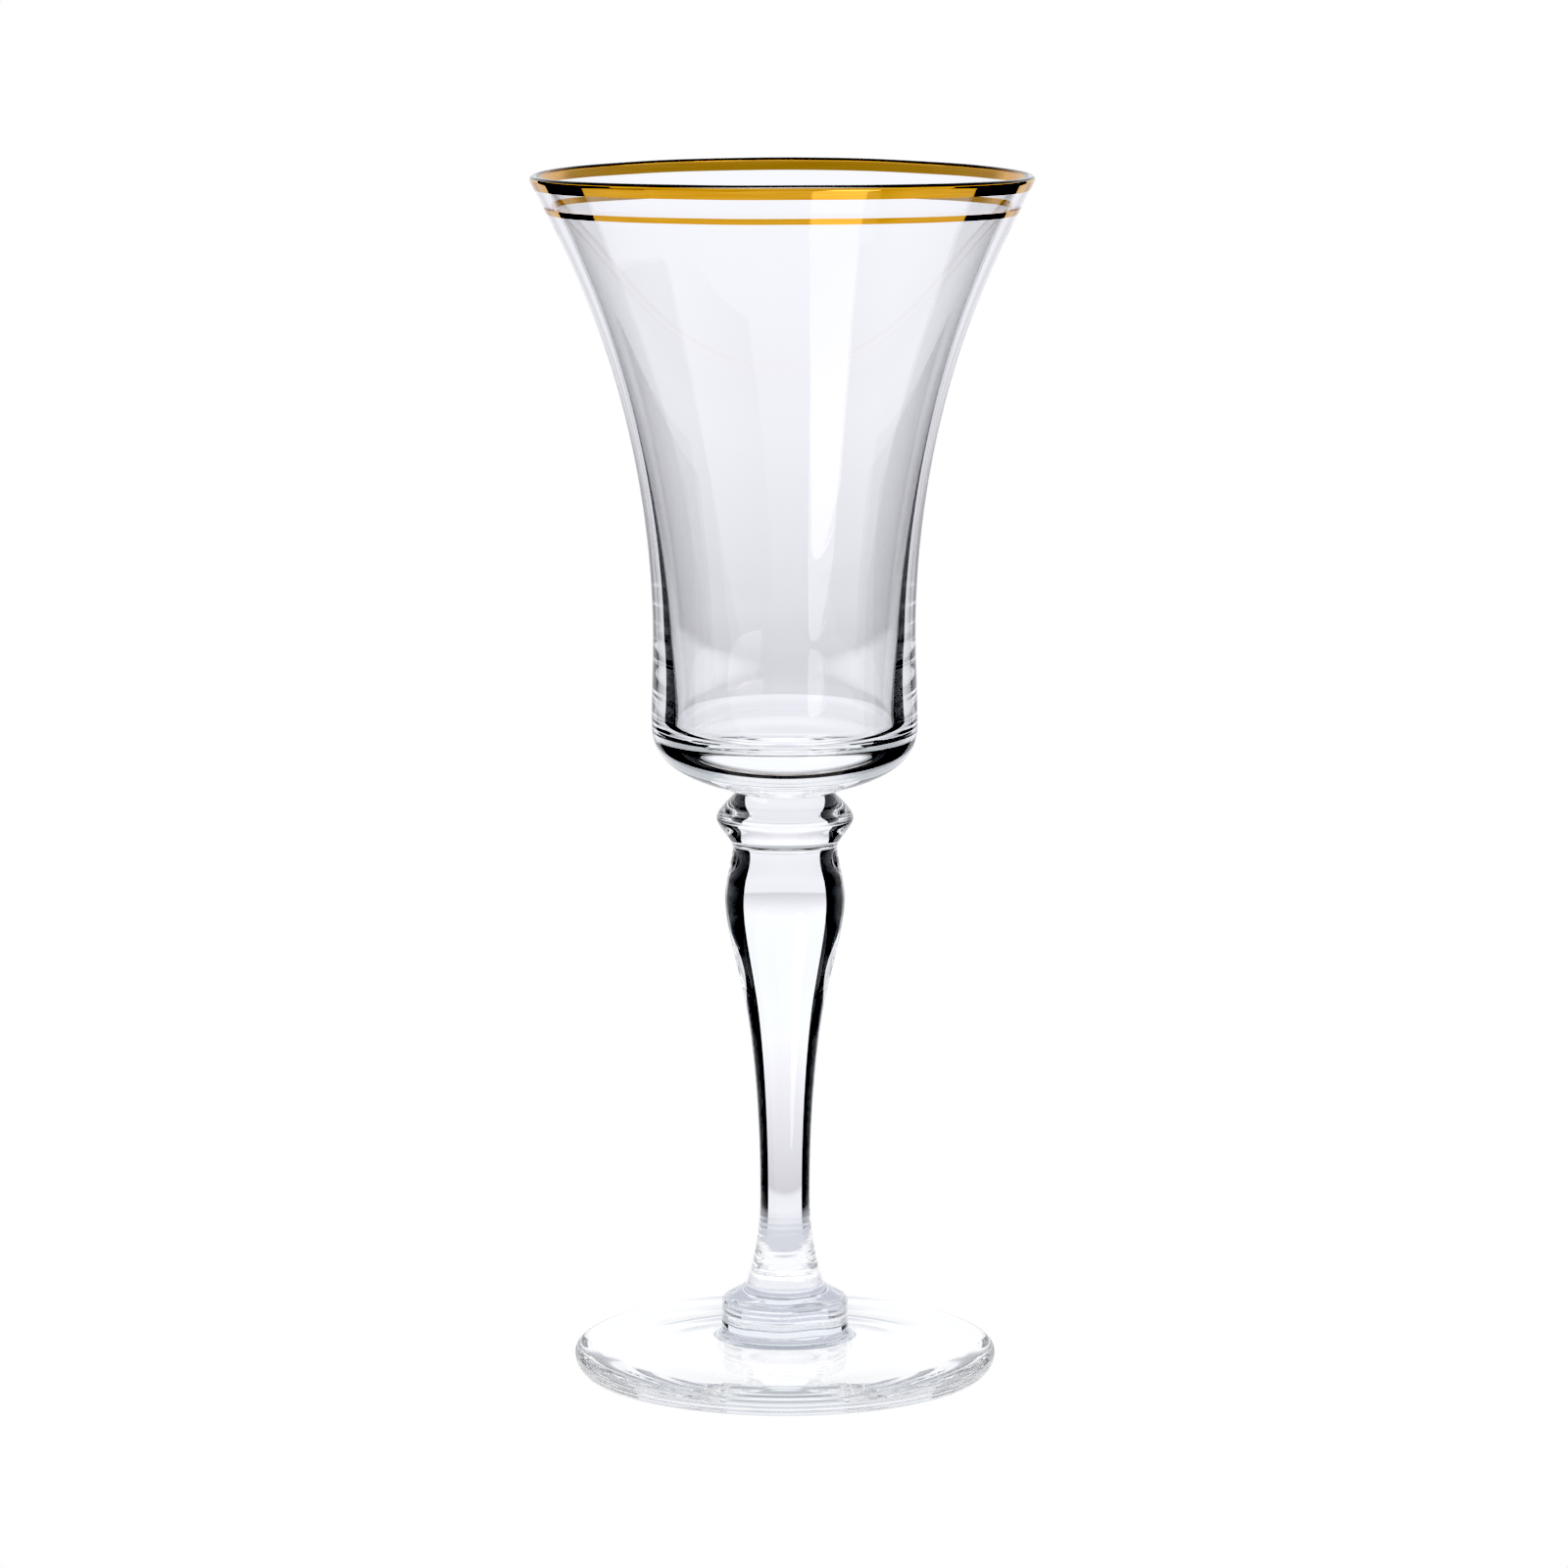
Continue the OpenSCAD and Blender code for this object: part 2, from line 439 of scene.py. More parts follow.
def add(
    tree: bpy.types.NodeTree, kind: str, settings: dict[str, Any] | None = None, **inputs: Any
) -> bpy.types.Node:
    """Adds a node with its settings, and sets or links its inputs.

    Args:
        tree: The tree that gets the node.
        kind: The node's type.
        settings: Properties of the node itself.
        **inputs: A value or a socket for each input, by its name with _ for a space, or by i
            and its number where names repeat.

    Returns:
        The new node.
    """
    node = tree.nodes.new(kind)
    for key, value in (settings or {}).items():
        setattr(node, key, value)
    for key, value in inputs.items():
        socket = node.inputs[int(key[1:]) if key[0] == "i" and key[1:].isdigit() else key.replace("_", " ")]
        if isinstance(value, Socket):
            tree.links.new(value, socket)
        else:
            socket.default_value = value
    return node


def ramp(tree: bpy.types.NodeTree, value: Socket, stops: Sequence[tuple[float, str]]) -> Socket:
    """Turns a value into a colour that runs from stop to stop.

    Args:
        tree: The tree that gets the node.
        value: The socket that drives it.
        stops: Place from 0 to 1 and hex colour of each stop.

    Returns:
        The colour's socket.
    """
    node = add(tree, "ShaderNodeValToRGB", Fac=value)
    marks = node.color_ramp.elements
    while len(marks) < len(stops):
        marks.new(1.0)
    for mark, (place, colour) in zip(marks, stops):
        mark.position = place
        mark.color = linear(colour)
    return node.outputs["Color"]


def blank(name: str) -> tuple[bpy.types.Material, bpy.types.NodeTree]:
    """A new material with an empty node tree.

    Args:
        name: Name of the material.

    Returns:
        The material and its tree.
    """
    material = bpy.data.materials.new(name)
    material.use_nodes = True
    material.node_tree.nodes.clear()
    return material, material.node_tree


@dataclass(frozen=True)
class PolishedCrystal:
    """Lead-free crystal glass, blown and fire polished.

    To the eye it is clear with a faint cool cast, and mirror smooth, so that it is seen only by
    what it bends and reflects.
    """

    name: str = "fire_polished_crystal"
    tint: str = "#FEFEFF"
    ior: float = 1.52
    cord_width: float = 9.0
    cord_depth: float = 0.004
    cord_draw: float = 0.35

    def build(self) -> bpy.types.Material:
        """Glass with the faint long waves, called cords, that working the melt leaves in it.

        Returns:
            The material.
        """
        material, tree = blank(self.name)
        place = add(tree, "ShaderNodeTexCoord").outputs["Object"]
        stretch = (1, 1, self.cord_draw)
        drawn = add(tree, "ShaderNodeMapping", Vector=place, Scale=stretch).outputs["Vector"]
        cords = add(tree, "ShaderNodeTexNoise", Vector=drawn, Scale=1 / (self.cord_width * MM), Detail=1.0)
        bump = add(
            tree, "ShaderNodeBump", Height=cords.outputs["Fac"], Strength=1.0, Distance=self.cord_depth * MM
        )
        glass = add(
            tree,
            "ShaderNodeBsdfPrincipled",
            Base_Color=linear(self.tint),
            Roughness=0.0,
            IOR=self.ior,
            Transmission_Weight=1.0,
            Normal=bump.outputs["Normal"],
        )
        add(tree, "ShaderNodeOutputMaterial", Surface=glass.outputs["BSDF"])
        return material


@dataclass(frozen=True)
class FusedJoint:
    """Where two hot pieces were fused: no surface is left, so nothing shows to the eye."""

    name: str = "fused_joint"

    def build(self) -> bpy.types.Material:
        """A face that the light passes as if it weren't there.

        Returns:
            The material.
        """
        material, tree = blank(self.name)
        clear = add(tree, "ShaderNodeBsdfPrincipled", Base_Color=linear(WHITE), Alpha=0.0)
        add(tree, "ShaderNodeOutputMaterial", Surface=clear.outputs["BSDF"])
        return material


@dataclass(frozen=True)
class FiredGold:
    """Liquid bright gold, brushed on and fired: to the eye a mirror with fine level streaks."""

    name: str = "fired_bright_gold"
    low: str = "#D59E49"
    high: str = "#E1AF51"
    streak_height: float = 0.35
    streak_length: float = 14.0
    streak_depth: float = 0.0015
    sharpest: float = 0.03
    dullest: float = 0.075

    def build(self) -> bpy.types.Material:
        """Gold whose colour and gloss vary along streaks that run round the lip.

        Returns:
            The material.
        """
        material, tree = blank(self.name)
        place = add(tree, "ShaderNodeTexCoord").outputs["Object"]
        long, short = 1 / (self.streak_length * MM), 1 / (self.streak_height * MM)
        drawn = add(tree, "ShaderNodeMapping", Vector=place, Scale=(long, long, short)).outputs["Vector"]
        streaks = add(tree, "ShaderNodeTexNoise", Vector=drawn, Scale=1.0, Detail=3.0, Roughness=0.55)
        colour = ramp(tree, streaks.outputs["Fac"], [(0.3, self.low), (0.7, self.high)])
        gloss = add(
            tree,
            "ShaderNodeMapRange",
            Value=streaks.outputs["Fac"],
            To_Min=self.sharpest,
            To_Max=self.dullest,
        )
        bump = add(
            tree,
            "ShaderNodeBump",
            Height=streaks.outputs["Fac"],
            Strength=1.0,
            Distance=self.streak_depth * MM,
        )
        gold = add(
            tree,
            "ShaderNodeBsdfPrincipled",
            Base_Color=colour,
            Metallic=1.0,
            Roughness=gloss.outputs["Result"],
            Normal=bump.outputs["Normal"],
        )
        add(tree, "ShaderNodeOutputMaterial", Surface=gold.outputs["BSDF"])
        return material


@dataclass(frozen=True)
class Glow:
    """A light's diffuser cloth, a grey wall or a flag's black felt, even from every side."""

    name: str

    def build(self) -> bpy.types.Material:
        """A surface that gives off white light, as strongly as its mesh's own glow value says.

        Returns:
            The material.
        """
        material, tree = blank(self.name)
        amount = add(tree, "ShaderNodeAttribute", {"attribute_name": "glow"}).outputs["Fac"]
        glow = add(tree, "ShaderNodeEmission", Color=linear(WHITE), Strength=amount)
        add(tree, "ShaderNodeOutputMaterial", Surface=glow.outputs["Emission"])
        return material


@dataclass(frozen=True)
class WhiteSheet:
    """A white sheet: even white to the camera, and a painted disc to light that has been in the glass.

    That light meets a disc of the sheet, painted white ahead of the glass as painted light and painted
    grey behind it as painted shade, which fades out to the shades of the room. Lengths are in metres.
    """

    name: str = "white_sheet"
    # Grey of the painted shade behind the glass.
    shade: str = "#CCCED6"
    strength: float = 1.1
    reach: float = 0.12
    fade: Pair = (0.5, 0.8)
    # The white patch ahead of the glass: painted light, which no lamp casts.
    painted_light_ahead: float = 0.06
    painted_light_radius: float = 0.0935
    painted_light_edge: float = 0.97

    def share(self, tree: bpy.types.NodeTree, place: Socket, ahead: float, radius: float) -> Socket:
        """How far out a place is: its distance from a point in front of the glass over a radius.

        Args:
            tree: The tree that gets the nodes.
            place: The place on the sheet.
            ahead: How far in front of the glass the point lies.
            radius: The distance that counts as 1.

        Returns:
            The socket of the distance.
        """
        from_point = add(tree, "ShaderNodeVectorMath", {"operation": "ADD"}, i0=place, i1=(0, ahead, 0))
        away = add(tree, "ShaderNodeVectorMath", {"operation": "LENGTH"}, i0=from_point.outputs[0])
        share = add(tree, "ShaderNodeMath", {"operation": "DIVIDE"}, i0=away.outputs["Value"], i1=radius)
        return share.outputs[0]

    def build(self) -> bpy.types.Material:
        """White for the camera, and for other light the disc of painted light and painted shade on a clear
        sheet.

        Returns:
            The material.
        """
        material, tree = blank(self.name)
        seen = add(tree, "ShaderNodeLightPath").outputs["Is Camera Ray"]
        white = add(tree, "ShaderNodeEmission", Color=linear(WHITE))
        place = add(tree, "ShaderNodeTexCoord").outputs["Object"]
        out = self.share(tree, place, 0.0, self.reach)
        disc = ramp(tree, out, [(self.fade[0], WHITE), (self.fade[1], BLACK)])
        lit = self.share(tree, place, self.painted_light_ahead, self.painted_light_radius)
        # Painted shade: grey behind the glass, and a painted white patch ahead of it.
        shade = ramp(tree, lit, [(self.painted_light_edge, WHITE), (1, self.shade)])
        clear = add(tree, "ShaderNodeBsdfTransparent")
        grey = add(tree, "ShaderNodeEmission", Color=shade, Strength=self.strength)
        under = add(tree, "ShaderNodeMixShader", i0=disc, i1=clear.outputs[0], i2=grey.outputs[0])
        both = add(tree, "ShaderNodeMixShader", i0=seen, i1=under.outputs[0], i2=white.outputs[0])
        add(tree, "ShaderNodeOutputMaterial", Surface=both.outputs[0])
        return material


# ---------------------------------------------------------------- the glass


@dataclass
class Finishes:
    """The materials that the pieces share."""

    polished: bpy.types.Material
    # The collar's glass, tinted grey: painted shade.
    painted_shade_glass: bpy.types.Material
    joint: bpy.types.Material
    gold: bpy.types.Material

    def clear(self) -> list[bpy.types.Material]:
        """Materials of a fire-polished piece, in the order of Face."""
        return [self.polished, self.joint]

    def collar_painted_shade(self) -> list[bpy.types.Material]:
        """Materials of the tool-ridged collar, its glass tinted grey as painted shade, in the order of
        Face.
        """
        return [self.painted_shade_glass, self.joint]


@dataclass
class Foot:
    """The round foot: a disc with a soft rim, on a flat ring, hollow under its middle."""

    edge_h: float = 4.85
    edge_mid_h: float = 2.8
    edge_in: float = 2.8
    undercut: float = 1.9
    ring_w: float = 4.5
    hollow_h: float = 1.2
    collar_r: float = 12.05
    hollow_handles: tuple[Pair, Pair] = ((12, 0), (-6, 0.35))
    under_handles: tuple[Pair, Pair] = ((0.9, 0), (0, -1.3))
    edge_handles: tuple[Pair, Pair] = ((0, 1.1), (1.6, -0.25))
    top_handles: tuple[Pair, Pair] = ((-5, 0.5), (7, -0.3))

    def outline(self) -> Outline:
        """The half section from the hollow's middle round the rim to the joint on top.

        Returns:
            The outline, in millimetres.
        """
        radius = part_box(Node.FOOT.value)[1].x / MM
        top = level(Node.FOOT, True)
        rim = np.array([radius, self.edge_mid_h])
        outer = np.array([radius - self.undercut, 0.0])
        inner = outer - [self.ring_w, 0]
        face_end = np.array([radius - self.edge_in, self.edge_h])
        face_start = np.array([self.collar_r, top])
        hollow = np.array([0, self.hollow_h])
        return (
            Outline()
            .add(bend(hollow, inner, self.hollow_handles, 40))
            .add(line(inner, outer, 4))
            .add(bend(outer, rim, self.under_handles, 16))
            .add(bend(rim, face_end, self.edge_handles, 24))
            .add(bend(face_end, face_start, self.top_handles, 40))
            .add(line(face_start, [0, top], 6), Face.FUSED)
        )

    def build(self, finishes: Finishes) -> None:
        """Makes the foot."""
        seat(turned("glass_foot", self.outline(), finishes.clear()), Node.FOOT)


@dataclass
class Collar:
    """The drum between foot and stem, with a round shoulder and a hollow fillet at its bottom."""

    radius: float = 10.45
    shoulder_h: float = 3.5
    fillet: float = 1.6
    stem_r: float = 6.4
    draft: float = 0.06
    shoulder_handles: tuple[Pair, Pair] = ((0, 1.7), (0.9, -1.7))
    mark_depth: float = 0.05
    mark_spacing: float = 1.25

    def outline(self) -> Outline:
        """The half section from the joint on the foot to the joint under the stem.

        The wall leans in by the draft from the fillet up to the shoulder.

        Returns:
            The outline, in millimetres.
        """
        low, high = level(Node.COLLAR, False), level(Node.COLLAR, True)
        centre = [self.radius + self.fillet, low + self.fillet]
        shoulder = np.array([self.radius, high - self.shoulder_h])
        joint = np.array([self.stem_r, high])
        return (
            Outline()
            .add(line([0, low], [centre[0], low], 6), Face.FUSED)
            .add(arc(centre, self.fillet, 270, 180, 16) + [self.draft, 0])
            .add(line([self.radius + self.draft, centre[1]], shoulder, 24))
            .add(bend(shoulder, joint, self.shoulder_handles, 36))
            .add(line(joint, [0, high], 6), Face.FUSED)
        )

    def build(self, finishes: Finishes) -> None:
        """Makes the collar, with the ridges of the tool that shaped it.

        Args:
            finishes: The materials that the pieces share.
        """
        low, high = level(Node.COLLAR, False) * MM, level(Node.COLLAR, True) * MM
        marks = ToolMarks(low, high, self.mark_depth * MM, self.mark_spacing * MM)
        # The collar's glass is tinted grey, which is painted shade.
        seat(turned("glass_collar", self.outline(), finishes.collar_painted_shade(), marks), Node.COLLAR)


@dataclass
class Stem:
    """The solid stem: flared at its foot, thin above, then swelling up to the knop."""

    foot_r: float = 6.4
    foot_angle: float = 19
    thin_r: float = 4.1
    thin_h: float = 15.7
    taper_r: float = 6.45
    taper_h: float = 46.9
    taper_angle: float = 10.8
    swell_r: float = 9.9
    swell_depth: float = 8.3
    top_r: float = 8.6
    foot_pulls: Pair = (4.7, 6.6)
    taper_pulls: Pair = (12.9, 6.3)
    swell_pulls: Pair = (6.2, 5.1)
    top_pulls: Pair = (2.7, 2.3)
    mark_h: float = 11
    mark_depth: float = 0.03
    mark_spacing: float = 1.1

    def outline(self) -> Outline:
        """The half section from the joint on the collar to the joint under the knop.

        Returns:
            The outline, in millimetres.
        """
        low, high = level(Node.STEM, False), level(Node.STEM, True)
        joint = [self.foot_r, low]
        thin = [self.thin_r, low + self.thin_h]
        taper = [self.taper_r, low + self.taper_h]
        swell = [self.swell_r, high - self.swell_depth]
        top = [self.top_r, high]
        return (
            Outline()
            .add(line([0, low], joint, 6), Face.FUSED)
            .add(sweep(joint, -self.foot_angle, thin, 0, self.foot_pulls, 60))
            .add(sweep(thin, 0, taper, self.taper_angle, self.taper_pulls, 60))
            .add(sweep(taper, self.taper_angle, swell, 0, self.swell_pulls, 40))
            .add(sweep(swell, 0, top, 0, self.top_pulls, 24))
            .add(line(top, [0, high], 6), Face.FUSED)
        )

    def build(self, finishes: Finishes) -> None:
        """Makes the stem, with fine rings where it was drawn out of the foot.

        Args:
            finishes: The materials that the pieces share.
        """
        low = level(Node.STEM, False) * MM
        marks = ToolMarks(low, low + self.mark_h * MM, self.mark_depth * MM, self.mark_spacing * MM)
        seat(turned("glass_stem", self.outline(), finishes.clear(), marks), Node.STEM)


@dataclass
class Knop:
    """The round knop between stem and bowl."""

    joint_r: float = 8.6
    radius: float = 11.25
    mid_h: float = 4.9
    neck_r: float = 8.0
    neck_angle: float = 45
    low_pulls: Pair = (1.3, 1.55)
    high_pulls: Pair = (1.2, 1.1)

    def outline(self) -> Outline:
        """The half section from the joint on the stem to the joint under the bowl.

        Returns:
            The outline, in millimetres.
        """
        low, high = level(Node.KNOP, False), level(Node.KNOP, True)
        joint, neck = [self.joint_r, low], [self.neck_r, high]
        widest = [self.radius, low + self.mid_h]
        return (
            Outline()
            .add(line([0, low], joint, 6), Face.FUSED)
            .add(sweep(joint, 0, widest, 0, self.low_pulls, 36))
            .add(sweep(widest, 0, neck, -self.neck_angle, self.high_pulls, 36))
            .add(line(neck, [0, high], 6), Face.FUSED)
        )

    def build(self, finishes: Finishes) -> None:
        """Makes the knop."""
        seat(turned("glass_knop", self.outline(), finishes.clear()), Node.KNOP)


@dataclass
class Bowl:
    """The trumpet bowl: solid bottom, narrow waist, straight flare and a round lip.

    The belly and the waist are given as (radius, height above the joint), and the flare's middle
    as (distance in from the lip, depth under it).
    """

    neck_r: float = 8.0
    underside: float = 21.5
    belly: Pair = (21.85, 11.2)
    waist: Pair = (21.55, 26.3)
    mid: Pair = (10.2, 23.4)
    mid_angle: float = 20.7
    flare: float = 26.3
    straight_h: float = 8.0
    lip_wall: float = 1.3
    flare_wall: float = 1.35
    waist_wall: float = 2.75
    inner_taper: float = 3.0
    belly_wall: float = 3.8
    inner_round_h: float = 12.4
    base_wall: float = 8.8
    underside_pulls: Pair = (5.3, 7.9)
    belly_pulls: Pair = (4.9, 5.1)
    flare_pulls: Pair = (19.8, 14.2)
    straight_pulls: Pair = (5, 5)
    inner_flare_pulls: Pair = (17.5, 15)
    inner_belly_pulls: Pair = (3, 3)
    well_handles: tuple[Pair, Pair] = ((0, -4), (12.7, 0))

    def __post_init__(self) -> None:
        """Reads the heights and the radius of the lip from the CAD node."""
        self.low = level(Node.BOWL, False)
        self.lip_z = level(Node.BOWL, True)
        self.lip_r = self.lip_wall / 2
        self.rim_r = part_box(Node.BOWL.value)[1].x / MM
        self.centre = np.array([self.rim_r - self.lip_r, self.lip_z - self.lip_r])

    def finish(self) -> HandFinish:
        """How the lip departs from level, the same for the glass and its gold."""
        return HandFinish(lip_z=self.lip_z * MM, bowl_z=self.low * MM)

    def flare_point(self, z: float, lift: float = 0.0) -> Points:
        """A point on the straight outer face: radius falls with depth by the flare's slope.

        Args:
            z: Its height in millimetres.
            lift: How far it stands off the face.

        Returns:
            The point as (radius, height).
        """
        slope = math.radians(self.flare)
        edge = arc(self.centre, self.lip_r, -self.flare, -self.flare, 1)[0]
        return np.array([edge[0] - (edge[1] - z) * math.tan(slope) + lift / math.cos(slope), z])

    def outline(self) -> Outline:
        """The half section: joint, outer face, round lip, inner face to the axis.

        Returns:
            The outline, in millimetres.
        """
        neck = np.array([self.neck_r, self.low])
        belly = np.array([self.belly[0], self.low + self.belly[1]])
        waist = np.array([self.waist[0], self.low + self.waist[1]])
        mid = np.array([self.rim_r - self.mid[0], self.lip_z - self.mid[1]])
        end_z = self.lip_z - self.straight_h
        end, inner_end = self.flare_point(end_z), self.flare_point(end_z, -self.lip_wall)
        inner_mid = mid - [self.flare_wall / math.cos(math.radians(self.mid_angle)), 0]
        inner_waist = waist - [self.waist_wall, 0]
        inner_belly = np.array([self.belly[0] - self.belly_wall, self.low + self.inner_round_h])
        mid_down, taper = 180 + self.mid_angle, 180 + self.inner_taper
        base = np.array([0, self.low + self.base_wall])
        lip = arc(self.centre, self.lip_r, -self.flare, 180 - self.flare, 28)
        return (
            Outline()
            .add(line([0, self.low], neck, 6), Face.FUSED)
            .add(sweep(neck, 90 - self.underside, belly, 0, self.underside_pulls, 32))
            .add(sweep(belly, 0, waist, 0, self.belly_pulls, 20))
            .add(sweep(waist, 0, mid, self.mid_angle, self.flare_pulls, 56))
            .add(sweep(mid, self.mid_angle, end, self.flare, self.straight_pulls, 18))
            .add(line(end, lip[0], 8))
            .add(lip)
            .add(line(lip[-1], inner_end, 8))
            .add(sweep(inner_end, 180 + self.flare, inner_mid, mid_down, self.straight_pulls, 18))
            .add(sweep(inner_mid, mid_down, inner_waist, taper, self.inner_flare_pulls, 56))
            .add(sweep(inner_waist, taper, inner_belly, 180, self.inner_belly_pulls, 14))
            .add(bend(inner_belly, base, self.well_handles, 48))
        )

    def build(self, finishes: Finishes) -> None:
        """Makes the bowl."""
        piece = turned("glass_bowl", self.outline(), finishes.clear(), self.finish())
        seat(piece, Node.BOWL)


@dataclass
class Gilding:
    """The two gold bands, fired onto the outer face of the lip, as skins that close on themselves."""

    bowl: Bowl
    thickness: float = 0.06
    sunk: float = 0.01
    band_h: float = 2.3
    band_turn: float = 45.0
    line_depth: float = 5.35
    line_h: float = 0.95

    def band(self) -> Outline:
        """The wide band's section: up its outer side, round the lip, and back down inside.

        Returns:
            The closed outline, in millimetres.
        """
        low = self.bowl.lip_z - self.band_h
        start, end = -self.bowl.flare, self.band_turn - self.bowl.flare
        outer = arc(self.bowl.centre, self.bowl.lip_r + self.thickness, start, end, 18)
        inner = arc(self.bowl.centre, self.bowl.lip_r - self.sunk, end, start, 18)
        foot_out = self.bowl.flare_point(low, self.thickness)
        foot_in = self.bowl.flare_point(low, -self.sunk)
        loop = Outline().add(line(foot_out, outer[0], 8)).add(outer).add(line(outer[-1], inner[0], 1))
        return loop.add(inner).add(line(inner[-1], foot_in, 8))

    def thin_line(self) -> Outline:
        """The thin line's section: a flat ring on the straight flare.

        Returns:
            The closed outline, in millimetres.
        """
        high = self.bowl.lip_z - self.line_depth
        low = high - self.line_h
        corners = [self.bowl.flare_point(low, self.thickness), self.bowl.flare_point(high, self.thickness)]
        back = [self.bowl.flare_point(high, -self.sunk), self.bowl.flare_point(low, -self.sunk)]
        return Outline().add(line(*corners, 6)).add(line(corners[1], back[0], 1)).add(line(*back, 6))

    def build(self, finishes: Finishes) -> None:
        """Makes both bands, bent with the lip they lie on.

        Args:
            finishes: The materials that the pieces share.
        """
        finish = self.bowl.finish()
        band = turned("gold_band", self.band(), [finishes.gold], finish, closed=True)
        seat(band, Node.BAND)
        thin = turned("gold_thin_line", self.thin_line(), [finishes.gold], finish, closed=True)
        seat(thin, Node.LINE)


# ---------------------------------------------------------------- the studio


@dataclass(frozen=True)
class Card:
    """A card bent round the glass at one distance, given by the directions of its edges.

    Each row of the edges is a rise e and the two bearings a of its ends, in degrees, counted from
    the camera towards the right. The glow is given at the two ends of the lowest row, then at
    those of the highest. The radius and the height of its centre are in metres.
    """

    name: str
    edges: tuple[tuple[float, float, float], ...]
    glow: tuple[tuple[float, float], tuple[float, float]] = ((0.0, 0.0), (0.0, 0.0))
    radius: float = 3.0
    centre_z: float = 0.15
    rows: int = 65
    columns: int = 33

    def build(self) -> bpy.types.Object:
        """Bends the card to a ball: R (cos e sin a, -cos e cos a, sin e) about the bowl.

        Returns:
            The card, seen in the glass alone.
        """
        rows = np.array(self.edges, float)
        up = np.linspace(0, 1, self.rows)[:, None]
        across = np.linspace(0, 1, self.columns)[None, :]
        degrees = rows[0, 0] + (rows[-1, 0] - rows[0, 0]) * up
        first, last = (np.interp(degrees, rows[:, 0], rows[:, i]) for i in (1, 2))
        bearing = np.radians(first + (last - first) * across)
        rise = np.radians(np.broadcast_to(degrees, bearing.shape))
        way = [np.cos(rise) * np.sin(bearing), -np.cos(rise) * np.cos(bearing), np.sin(rise)]
        points = self.radius * np.stack(way, axis=-1) + [0, 0, self.centre_z]
        (low_a, low_b), (high_a, high_b) = self.glow
        glow = (low_a + (low_b - low_a) * across) * (1 - up) + (high_a + (high_b - high_a) * across) * up
        count, cols = bearing.shape
        low = (np.arange(count - 1)[:, None] * cols + np.arange(cols - 1)).ravel()
        faces = np.column_stack([low, low + 1, low + cols + 1, low + cols])
        mesh = bpy.data.meshes.new(self.name)
        mesh.from_pydata(points.reshape(-1, 3).tolist(), [], faces.tolist())
        amount = mesh.attributes.new("glow", "FLOAT", "POINT")
        amount.data.foreach_set("value", glow.astype(np.float32).ravel())
        mesh.materials.append(Glow(self.name).build())
        card = bpy.data.objects.new(self.name, mesh)
        bpy.context.scene.collection.objects.link(card)
        card.visible_camera = False
        card.visible_diffuse = False
        card.visible_shadow = False
        return card


